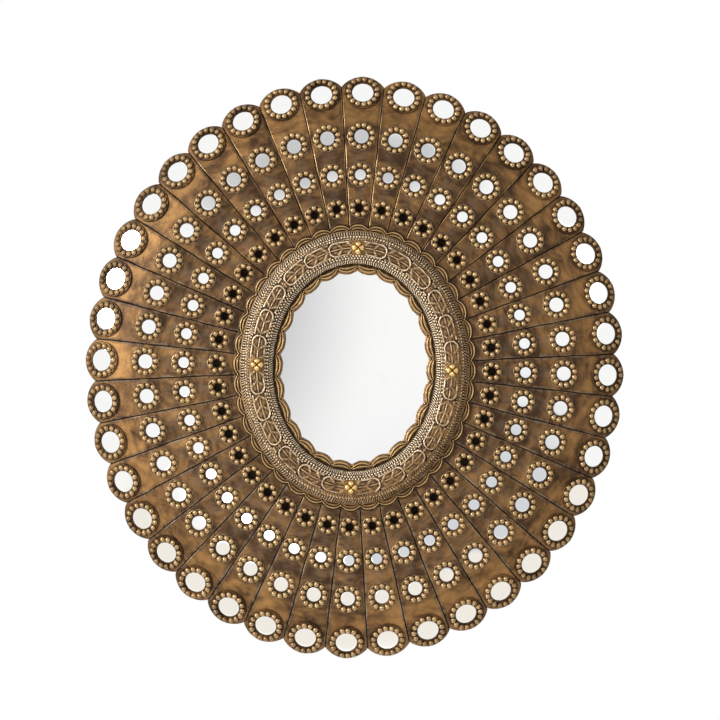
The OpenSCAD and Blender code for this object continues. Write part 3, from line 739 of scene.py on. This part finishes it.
# Pale gold lies on all that stands up, over a dark brown glaze
gold, warm_gold, pale_gold = (0.265, 0.150, 0.056), (0.47, 0.305, 0.135), (0.84, 0.735, 0.565)
stain, glaze = (0.075, 0.037, 0.014), (0.024, 0.012, 0.005)
carving = Finish("antique gold of the moulding")
mottle = carving.noise(120, 5, 0.6, 0.6)
clouds = carving.noise(22, 3, 0.5)
speckle = carving.noise(700, 3, 0.6)
high, low = carving.mark("high"), carving.mark("low")
shine = carving.blend(carving.mark("warm"), pale_gold, warm_gold)
colour = carving.coats(stain, ((mottle * 0.8 + clouds * 0.4).between(0.35, 0.75), gold),
                       ((high * (0.25 + speckle + mottle * 0.7)).between(0.28, 0.95), shine),
                       ((low * (0.7 + mottle * 0.8)).between(0.1, 0.9), glaze))
carving.skin(Base_Color=colour, Metallic=0.3 + high * 0.35, Roughness=0.30 + mottle * 0.16,
             Specular_IOR_Level=0.2, Normal=carving.bump(mottle * 0.8 + speckle * 0.5, 0.0006, 0.6))
moulding.piece("carved_oval_moulding", carving, "oval_moulding", crease=80)

# Studs
# Four bright cast studs are pinned on the moulding's crest, at the top, right, bottom and left.
# Each is a flower of four petals with a deep cross between them.
petal_radius, petal_out = 5.6, 5.1
stud_seat = top_height + seat_rise
petal_steps = (1.0, 0.985, 0.94, 0.86, 0.76, 0.64, 0.52, 0.4, 0.28, 0.16)


def level_ring(x, y, rise, radius, around):
    """Ring of points round a middle, level with the board."""
    return np.column_stack([x + radius * np.cos(around), y + radius * np.sin(around), rise + 0 * around])


studs = Shell("groove")
around = even_turns(96)
from_petal = (around + math.pi / 4) % (math.pi / 2) - math.pi / 4
chord = np.sqrt(petal_radius ** 2 - (petal_out * np.sin(from_petal)) ** 2)
reach = petal_out * np.cos(from_petal) + chord
for k in range(4):
    turn = k * math.pi / 2
    x, y = spot(turn, crest_middle)
    below = None
    for step in petal_steps:
        radius = reach * step
        off = np.hypot(radius * np.cos(from_petal) - petal_out, radius * np.sin(from_petal))
        dome = 0.2 + np.sqrt(np.maximum(petal_radius ** 2 - off ** 2, 0)) * 0.98
        groove = swell(radius * (math.pi / 4 - np.abs(from_petal)), 0.9)
        vein = 0.12 * np.cos(from_petal * 24) * (1 - groove)
        rise = np.maximum(dome - 1.3 * groove + vein, 0.1) if step < 1 else 0
        points = level_ring(x, y, stud_seat + rise, radius, around + turn)
        below = studs.ring(below, points, groove=groove if step < 1 else 0.8)
    studs.close(below, [[x, y, stud_seat + 1.5]], groove=1.0)
bright = Finish("bright gold of the studs")
mottle = bright.noise(260, 4, 0.6)
speckle = bright.noise(1400, 2, 0.5)
colour = bright.coats((0.66, 0.44, 0.165), (bright.mark("groove"), (0.20, 0.105, 0.030)),
                      (mottle.between(0.5, 0.8) * 0.5, (0.82, 0.63, 0.33)))
bright.skin(Base_Color=colour, Metallic=0.9, Roughness=0.22 + mottle * 0.14,
            Normal=bright.bump(mottle + speckle * 0.4, 0.0003, 0.4))
studs.piece("four_petal_studs", bright, "moulding_studs")

# Centre mirror
# A flat oval of 4 mm silvered glass lies behind the moulding's inner edge. The clips hold it there
# loosely, through the backing.


def refinish(node, finish):
    """Gives a solid that is kept as it is a finish of its own."""
    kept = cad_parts[node]
    kept.data.materials.clear()
    kept.data.materials.append(finish.material)


refinish("centre_mirror", silvered_finish("silvered glass of the centre mirror", 7, (0.95, 0.95, 0.94)))

# Backing
# A sheet of brown hardboard with short fibres covers the back of the glass. It is cut a little
# larger than the glass, and the clips press on it.
hardboard = Finish("hardboard of the backing")
fibres = hardboard.noise(900, 4, 0.65, 0.0, (1, 1, 3))
clouds = hardboard.noise(16, 3, 0.5)
flecks = hardboard.noise(1500, 2, 0.5).between(0.64, 0.72)
colour = hardboard.coats((0.115, 0.055, 0.024), (fibres, (0.21, 0.115, 0.055)),
                         (clouds * 0.5, (0.15, 0.075, 0.034)), (flecks * 0.6, (0.05, 0.024, 0.012)))
hardboard.skin(Base_Color=colour, Roughness=0.52 + fibres * 0.2, Normal=hardboard.bump(fibres, 0.0003, 0.4))
refinish("mirror_backing", hardboard)

# Clips
# Eight offset clips of zinc-plated sheet are screwed to the moulding's back, and their tongues
# press on the backing.
glass_lap, backing_lap, clip_gap = 12, 2, 1
clip_bend = glass_lap - moulding_width + backing_lap + clip_gap
clip_sheet, clip_foot = 1.5, 16
clip_screw = clip_bend + clip_sheet + (clip_foot - clip_sheet) / 2


def steel_finish(name, light, shade, roughness):
    """Sheet steel or wire with a plated, slightly clouded face and fine scratches."""
    finish = Finish(name)
    spangle = finish.node("TexVoronoi", {}, {"Vector": finish.place, "Scale": 420.0}, "Color")
    clouds = finish.noise(180, 4, 0.6, 0.8)
    scratches = finish.noise(900, 3, 0.6, 0.0, (1, 1, 0.06))
    colour = finish.coats(light, (clouds.between(0.35, 0.75), shade), (0.12, spangle),
                          (scratches.between(0.62, 0.75) * 0.4, shade))
    finish.skin(Base_Color=colour, Metallic=0.95, Roughness=roughness + clouds * 0.14,
                Normal=finish.bump(scratches + clouds * 0.5, 0.0002, 0.3))
    return finish


zinc = steel_finish("zinc-plated steel", (0.47, 0.48, 0.49), (0.32, 0.33, 0.345), 0.40)
refinish("mirror_clips", zinc)


def screws(places, shank, length, name, node, finish):
    """Pan-head screws with a cross recess and a cut thread, their heads on a face at each place."""
    shell = Shell()
    around = even_turns(64)
    head_edge, head_top, head_rise = shank + 1.6, shank + 1.12, 1.4
    thread_step, thread_depth, recess = 0.55, 0.3, 0.85
    # Rings from the point to the head: radius, rise, and 1 where the cross is cut
    rings = [(0.1, length, 0), (shank - 0.35, length - 2.0, 0)]
    rings += [(shank - thread_depth * (k % 2), length - 2.3 - way, 0)
              for k, way in enumerate(np.arange(0, length - 2.5, thread_step))]
    rings += [(shank, 0.0, 0), (head_edge - 0.05, 0.0, 0), (head_edge, -0.25, 0),
              ((head_edge + head_top) / 2 + 0.1, -0.8, 0), (head_top + 0.05, -1.2, 0),
              (head_top - 0.3, -1.38, 0)]
    rings += [(head_top * part, -head_rise, 1) for part in (0.8, 0.7, 0.6, 0.5, 0.4, 0.3, 0.2, 0.1)]
    for number, (x, y, face) in enumerate(places):
        twist = number * 1.9
        below = None
        for radius, rise, recessed in rings:
            across, along = np.abs(radius * np.cos(around)), np.abs(radius * np.sin(around))
            arm = np.clip((0.5 - np.minimum(across, along)) / 0.16, 0, 1)
            reach = head_top * 0.62 - np.maximum(across, along)
            cut = recessed * recess * arm * np.clip(reach / 0.2, 0, 1)
            below = shell.ring(below, level_ring(x, y, face + rise + cut, radius, around + twist), -1)
        shell.close(below, [[x, y, face - head_rise + recess]], -1)
    shell.piece(name, finish, node, crease=45)


clip_places = [(*spot((k + 0.5) * math.pi / 4, clip_screw), top_height - clip_sheet) for k in range(8)]
screws(clip_places, 1.6, 8.0, "clip_pan_screws", "clip_screws", zinc)

# Hoop
# A pine hoop, glued up from short staves, stands on the board and carries the moulding, inside the
# rays' inner ends. Its grain runs straight out from the board.
hoop_gap, hoop_thick = 1, 16
hoop_middle = inner_end - hoop_gap - hoop_thick / 2
pine = Finish("pine of the riser hoop")
grain = pine.noise(55, 5, 0.6, 0.9, (1, 0.12, 1))
pores = pine.noise(1100, 3, 0.6, 0.0, (1, 0.2, 1))
colour = pine.coats((0.60, 0.40, 0.20), (grain.between(0.36, 0.66), (0.40, 0.23, 0.095)),
                    (pores.between(0.55, 0.75) * 0.4, (0.27, 0.15, 0.06)))
pine.skin(Base_Color=colour, Roughness=0.55 + pores * 0.2,
          Normal=pine.bump(grain + pores * 0.5, 0.0004, 0.4))
refinish("riser_hoop", pine)

# Backboard
# An oval of 9 mm fibreboard carries the rays and the hoop. Sixteen black screws go through it
# into the hoop, and its faces are mottled with short fibres.
fibreboard = Finish("fibreboard of the backboard")
fibres = fibreboard.noise(700, 5, 0.7)
clouds = fibreboard.noise(11, 4, 0.55)
matted = fibreboard.noise(150, 6, 0.68, 0.8)
flecks = fibreboard.noise(1300, 2, 0.5).between(0.63, 0.7)
colour = fibreboard.coats((0.34, 0.225, 0.125), (fibres, (0.47, 0.335, 0.205)),
                          (matted.between(0.42, 0.66) * 0.5, (0.255, 0.160, 0.088)),
                          (clouds.between(0.4, 0.75) * 0.5, (0.30, 0.19, 0.105)),
                          (flecks * 0.55, (0.15, 0.085, 0.045)))
fibreboard.skin(Base_Color=colour, Roughness=0.68 + fibres * 0.16,
                Normal=fibreboard.bump(fibres, 0.0003, 0.5))
refinish("backboard", fibreboard)
black = steel_finish("blackened steel", (0.035, 0.035, 0.038), (0.016, 0.016, 0.018), 0.42)
board_places = [(*spot((k + 0.5) * math.pi / 8, hoop_middle), 0.0) for k in range(16)]
screws(board_places, 2.0, 35.0, "board_pan_screws", "board_screws", black)

# Bumpers
# Six rubber bumpers keep the back 6 mm off the wall. Each is a moulded cone with a dished foot,
# nailed through its middle.
bumper_row = 165.4
# Radius and rise from the board to the foot and into the dish
bumper_profile = [(8.95, 0.0), (9.0, -0.3), (8.85, -0.9), (8.7, -1.2), (8.75, -1.6), (8.5, -2.9),
                  (8.2, -4.6), (7.95, -5.6), (7.6, -5.95), (7.1, -6.0), (6.2, -5.9), (5.2, -5.6),
                  (4.0, -5.35), (2.9, -5.2), (2.7, -4.3), (2.5, -3.1), (2.3, -2.95), (1.9, -3.1),
                  (0.9, -3.5)]
bumpers = Shell()
for k in range(6):
    x, y = spot((k + 0.5) * math.pi / 3, bumper_row)
    below = None
    for radius, rise in bumper_profile:
        below = bumpers.ring(below, level_ring(x, y, rise, radius, even_turns(56)), -1)
    bumpers.close(below, [[x, y, -3.6]], -1)
rubber = Finish("rubber of the bumpers")
bloom = rubber.noise(160, 4, 0.6).between(0.4, 0.8)
grit = rubber.noise(1600, 3, 0.6)
rubber.skin(Base_Color=rubber.blend(bloom, (0.016, 0.016, 0.017), (0.045, 0.044, 0.043)),
            Roughness=0.6 + grit * 0.25, Normal=rubber.bump(grit, 0.0003, 0.5))
bumpers.piece("rubber_bumpers", rubber, "wall_bumpers", crease=50)

# Hangers
# Two straps of zinc-plated sheet are rolled round the bars of their D-rings, and two short screws
# hold each on the board. The rings turn freely in them.
refinish("hanger_straps", zinc)
strap_across, bar_up, first_screw, screw_step, strap_sheet = 220.0, 230.0, 27.0, 16.0, 0.8
strap_places = [(side * strap_across, bar_up - first_screw - screw_step * k, -strap_sheet)
                for side in (-1, 1) for k in (0, 1)]
screws(strap_places, 1.6, 7.5, "strap_pan_screws", "strap_screws", zinc)
wire = steel_finish("plated wire of the rings", (0.56, 0.56, 0.56), (0.40, 0.40, 0.41), 0.22)
refinish("d_ring_left", wire)
refinish("d_ring_right", wire)

# Studio
# The mirror hangs over a pale floor in a white room. The main soft lamp stands at the upper left,
# and cards that the camera doesn't see give the gold and the glass something grey to mirror.
scene = bpy.context.scene
scene.view_settings.view_transform = "Standard"
scene.world = bpy.data.worlds.new("white room")
room = Tree(scene.world)
camera_ray, glossy_ray, through_ray = [room.node("LightPath", {}, {}, f"Is {kind} Ray")
                                       for kind in ("Camera", "Glossy", "Transmission")]
plain_light = room.node("Background", {}, {"Color": (0.20, 0.20, 0.205)})
white_walls = room.node("Background", {}, {"Color": (1.0, 1.0, 1.0)})
seen = camera_ray.most(glossy_ray).most(through_ray)
room.show(room.node("MixShader", {}, {0: seen, 1: plain_light, 2: white_walls}), "World Output")
floor_up = -1.4


def stand(data, place, target):
    """Stands a lamp or card at a place, with its face to the target."""
    made = bpy.data.objects.new(data.name, data)
    scene.collection.objects.link(made)
    made.location = place
    made.rotation_euler = (Vector(target) - Vector(place)).to_track_quat("-Z", "Y").to_euler()
    return made


def soft_lamp(name, place, size, power, target=(0, 0, 0)):
    lamp = bpy.data.lights.new(name, "AREA")
    lamp.shape, lamp.size, lamp.energy = "DISK", size, power
    stand(lamp, place, target)


soft_lamp("key lamp", (-3.2, -2.4, 1.0), 1.6, 178)
soft_lamp("fill lamp", (3.0, -3.0, 1.2), 2.2, 16)
soft_lamp("front lamp", (-0.9, -4.3, -1.5), 1.6, 30)
soft_lamp("floor lamp", (0, -1.6, -0.6), 3.4, 48, (0, -1.6, floor_up))
soft_lamp("rear floor lamp", (0, 2.2, -0.6), 3.4, 60, (0, 2.2, floor_up))
soft_lamp("back lamp", (0, 4.4, 0.9), 1.6, 65)


def card(name, place, width, tall, level, fade_width=0.6, target=(0, 0, 0)):
    """A card with a soft edge that only mirrors and metal see."""
    mesh = bpy.data.meshes.new(name)
    x, y = width / 2, tall / 2
    mesh.from_pydata([(-x, -y, 0), (x, -y, 0), (x, y, 0), (-x, y, 0)], [], [(0, 1, 2, 3)])
    paint = Finish(name)
    from_middle = paint.node("VectorMath", {"operation": "MULTIPLY"}, {0: paint.place, 1: (1 / x, 1 / y, 1)})
    fade = paint.node("TexGradient", {"gradient_type": "SPHERICAL"}, {"Vector": from_middle}, "Fac")
    clear, glow = paint.node("BsdfTransparent", {}, {}), paint.node("Emission", {}, {"Color": level})
    soft = paint.node("MixShader", {}, {0: fade.between(0, fade_width), 1: clear, 2: glow})
    paint.show(soft, "Material Output")
    mesh.materials.append(paint.material)
    made = stand(mesh, place, target)
    made.visible_camera = made.visible_diffuse = made.visible_shadow = made.visible_transmission = False


card("upper card", (-0.3, -5.2, 2.2), 4.5, 2.6, (0.62, 0.62, 0.63))
card("lower card", (1.0, -3.7, -1.0), 4.0, 2.4, (0.70, 0.72, 0.755))
card("floor card", (0.4, -2.0, -1.3), 6.4, 3.2, (0.94, 0.89, 0.82), 0.12, (0.4, -2.0, 5))
card("right flag", (2.2, 1.0, 0), 4.0, 4.6, (0.03, 0.03, 0.03), 0.2)
card("lower flag", (0, 1.2, -1.35), 4.6, 3.2, (0.03, 0.03, 0.03), 0.2)
card("grey wall", (-0.85, -12, 0.35), 2.0, 3.0, (0.62, 0.62, 0.63))

# The round floor lies a good way under the mirror and fades into the white room
disc = Shell()
below = None
for radius in (4.6, 3.0, 1.5):
    below = disc.ring(below, level_ring(0, 0, 0, radius, even_turns(96)))
disc.close(below, [[0, 0, 0]])
mesh = bpy.data.meshes.new("floor")
mesh.from_pydata(disc.points, [], disc.faces)
pale = Finish("pale floor")
clouds = pale.noise(2, 3, 0.5)
reach = pale.node("VectorMath", {"operation": "LENGTH"}, {0: pale.place}, "Value")
pale.skin(Base_Color=pale.blend(clouds, (0.82, 0.82, 0.815), (0.86, 0.86, 0.855)),
          Roughness=0.7 + clouds * 0.1, Alpha=1 - reach.between(1.2, 3.6))
mesh.materials.append(pale.material)
floor = bpy.data.objects.new("floor", mesh)
floor.location = (0, 0, floor_up)
scene.collection.objects.link(floor)

# Camera
# It looks straight at the wall from 6 m, as the photograph does, and leans a little to one side.
# What it sees is as wide as view_width on a plane 20 mm out from the board's rear face.
distance, view_width, plane_out = 6.0, 1.152, 0.02
camera_data = bpy.data.cameras.new("camera")
camera_data.sensor_width = 36
camera_data.lens = camera_data.sensor_width * distance / view_width
camera = bpy.data.objects.new("camera", camera_data)
scene.collection.objects.link(camera)
roll = math.radians(1.7)
offset_across, offset_up = 0.0086, 0.0120
camera.matrix_world = (Matrix.Rotation(math.radians(90), 4, "X") @ Matrix.Rotation(roll, 4, "Z")
                       @ Matrix.Translation((offset_across, offset_up, distance + plane_out)))
scene.camera = camera
